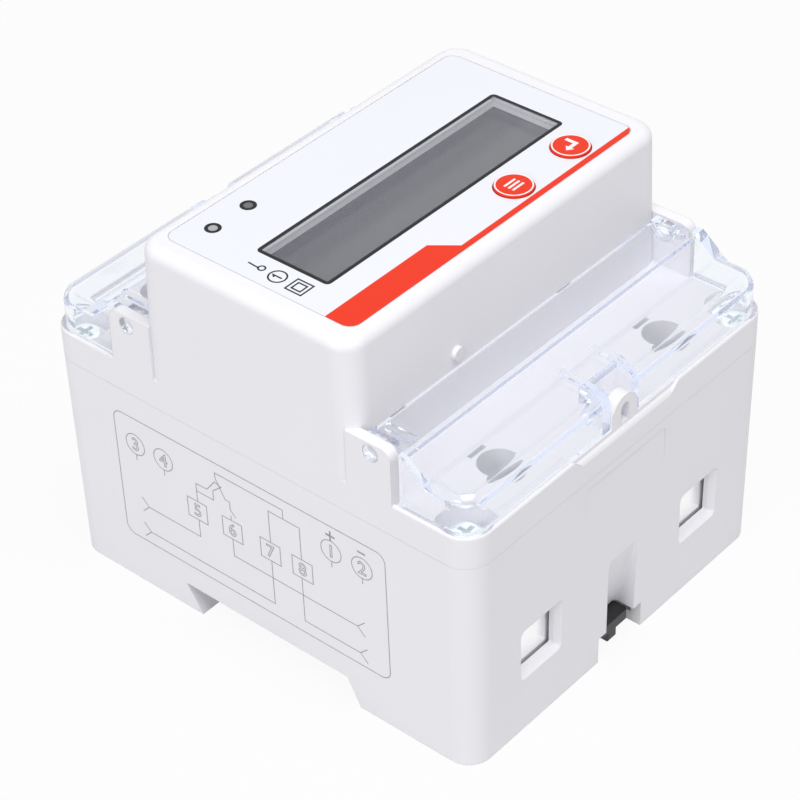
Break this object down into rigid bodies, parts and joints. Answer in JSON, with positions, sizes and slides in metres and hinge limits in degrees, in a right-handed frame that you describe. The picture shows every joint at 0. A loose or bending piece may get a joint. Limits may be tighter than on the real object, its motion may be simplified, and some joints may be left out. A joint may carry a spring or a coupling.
{
  "type": "din rail energy meter",
  "caption": "Box-shaped electricity meter for a 35 mm rail, with a raised display block, two keys, hinged clear terminal covers and rising cable clamps.",
  "frame": {"origin": "middle of the back plane of the housing feet", "axes": "+X along the rail, +Y up the front as it is read, +Z out of the wall towards the reader"},
  "size_m": [0.076, 0.088, 0.0728],
  "materials": {
    "white_abs": "moulded, fine matt",
    "clear_cover": "moulded clear polycarbonate",
    "black_clip": "moulded",
    "front_film": "printed polyester film",
    "clear_window": "clear, glossy",
    "lcd_glass": "polarised glass",
    "light_pipe": "clear",
    "led_body": "lens",
    "red_button": "printed",
    "black_moulding": "moulded",
    "circuit_board": "solder resist",
    "zinc_steel": "zinc plated",
    "nickel_steel": "nickel plated",
    "copper": "rolled copper",
    "manganin": "rolled alloy",
    "relay_case": "moulded",
    "capacitor_box": "potted box",
    "capacitor_sleeve": "shrink sleeve",
    "varistor_coat": "dipped",
    "green_terminal": "moulded"
  },
  "bodies": {
    "housing": {"lower_housing": "white_abs", "upper_housing": "white_abs", "faceplate_film": "front_film", "display_window": "clear_window", "lcd_glass": "lcd_glass", "lcd_backlight": "white_abs", "power_light_pipe": "light_pipe", "pulse_light_pipe": "light_pipe", "led_chips": "led_body", "menu_switch": "black_moulding", "enter_switch": "black_moulding", "main_board": "circuit_board", "display_board": "circuit_board", "display_board_screws": "zinc_steel", "housing_screws": "zinc_steel", "line_in_busbar": "copper", "line_out_busbar": "copper", "neutral_busbar": "copper", "current_shunt": "manganin", "latching_relay": "relay_case", "safety_capacitor": "capacitor_box", "filter_capacitor": "capacitor_sleeve", "varistor": "varistor_coat", "metering_chip": "black_moulding", "optocoupler": "black_moulding", "stacking_header": "black_moulding", "aux_terminal_block": "green_terminal", "aux_terminal_screws": "zinc_steel"},
    "bottom_cover": {"bottom_terminal_cover": "clear_cover"},
    "top_cover": {"top_terminal_cover": "clear_cover"},
    "clip": {"din_clip": "black_clip"},
    "menu_key": {"menu_button": "red_button", "menu_plunger": "black_moulding"},
    "enter_key": {"enter_button": "red_button", "enter_plunger": "black_moulding"},
    "line_in_cage": {"line_in_clamp": "nickel_steel"},
    "line_in_driver_screw": {"line_in_screw": "zinc_steel"},
    "neutral_in_cage": {"neutral_in_clamp": "nickel_steel"},
    "neutral_in_driver_screw": {"neutral_in_screw": "zinc_steel"},
    "line_out_cage": {"line_out_clamp": "nickel_steel"},
    "line_out_driver_screw": {"line_out_screw": "zinc_steel"},
    "neutral_out_cage": {"neutral_out_clamp": "nickel_steel"},
    "neutral_out_driver_screw": {"neutral_out_screw": "zinc_steel"}
  },
  "joints": [
    {"name": "bottom_cover_hinge", "type": "hinge", "parent": "housing", "child": "bottom_cover", "pos_m": [0, -0.0252, 0.0549], "axis": [-1, 0, 0], "range_deg": [0, 95]},
    {"name": "top_cover_hinge", "type": "hinge", "parent": "housing", "child": "top_cover", "pos_m": [0, 0.0252, 0.0549], "axis": [1, 0, 0], "range_deg": [0, 95]},
    {"name": "clip_slide", "type": "slide", "parent": "housing", "child": "clip", "axis": [0, -1, 0], "range_m": [0, 0.0035], "stiffness_N_per_m": 1500, "springref_m": -0.001},
    {"name": "menu_key_press", "type": "slide", "parent": "housing", "child": "menu_key", "axis": [0, 0, -1], "range_m": [0, 0.0003], "stiffness_N_per_m": 3000, "springref_m": -0.0002},
    {"name": "enter_key_press", "type": "slide", "parent": "housing", "child": "enter_key", "axis": [0, 0, -1], "range_m": [0, 0.0003], "stiffness_N_per_m": 3000, "springref_m": -0.0002},
    {"name": "line_in_screw_turn", "type": "hinge", "parent": "housing", "child": "line_in_driver_screw", "pos_m": [-0.0207, -0.0354, 0.036], "axis": [0, 0, 1], "range_deg": [0, 2665]},
    {"name": "line_in_cage_slide", "type": "slide", "parent": "housing", "child": "line_in_cage", "axis": [0, 0, -1], "range_m": [0, 0.0074]},
    {"name": "neutral_in_screw_turn", "type": "hinge", "parent": "housing", "child": "neutral_in_driver_screw", "pos_m": [0.0207, -0.0354, 0.036], "axis": [0, 0, 1], "range_deg": [0, 2665]},
    {"name": "neutral_in_cage_slide", "type": "slide", "parent": "housing", "child": "neutral_in_cage", "axis": [0, 0, -1], "range_m": [0, 0.0074]},
    {"name": "line_out_screw_turn", "type": "hinge", "parent": "housing", "child": "line_out_driver_screw", "pos_m": [-0.0207, 0.0354, 0.036], "axis": [0, 0, 1], "range_deg": [0, 2665]},
    {"name": "line_out_cage_slide", "type": "slide", "parent": "housing", "child": "line_out_cage", "axis": [0, 0, -1], "range_m": [0, 0.0074]},
    {"name": "neutral_out_screw_turn", "type": "hinge", "parent": "housing", "child": "neutral_out_driver_screw", "pos_m": [0.0207, 0.0354, 0.036], "axis": [0, 0, 1], "range_deg": [0, 2665]},
    {"name": "neutral_out_cage_slide", "type": "slide", "parent": "housing", "child": "neutral_out_cage", "axis": [0, 0, -1], "range_m": [0, 0.0074]}
  ],
  "couplings": [
    {"joint": "line_in_screw_turn", "follows": "line_in_cage_slide", "rad_per_m": 6283.2},
    {"joint": "neutral_in_screw_turn", "follows": "neutral_in_cage_slide", "rad_per_m": 6283.2},
    {"joint": "line_out_screw_turn", "follows": "line_out_cage_slide", "rad_per_m": 6283.2},
    {"joint": "neutral_out_screw_turn", "follows": "neutral_out_cage_slide", "rad_per_m": 6283.2}
  ]
}
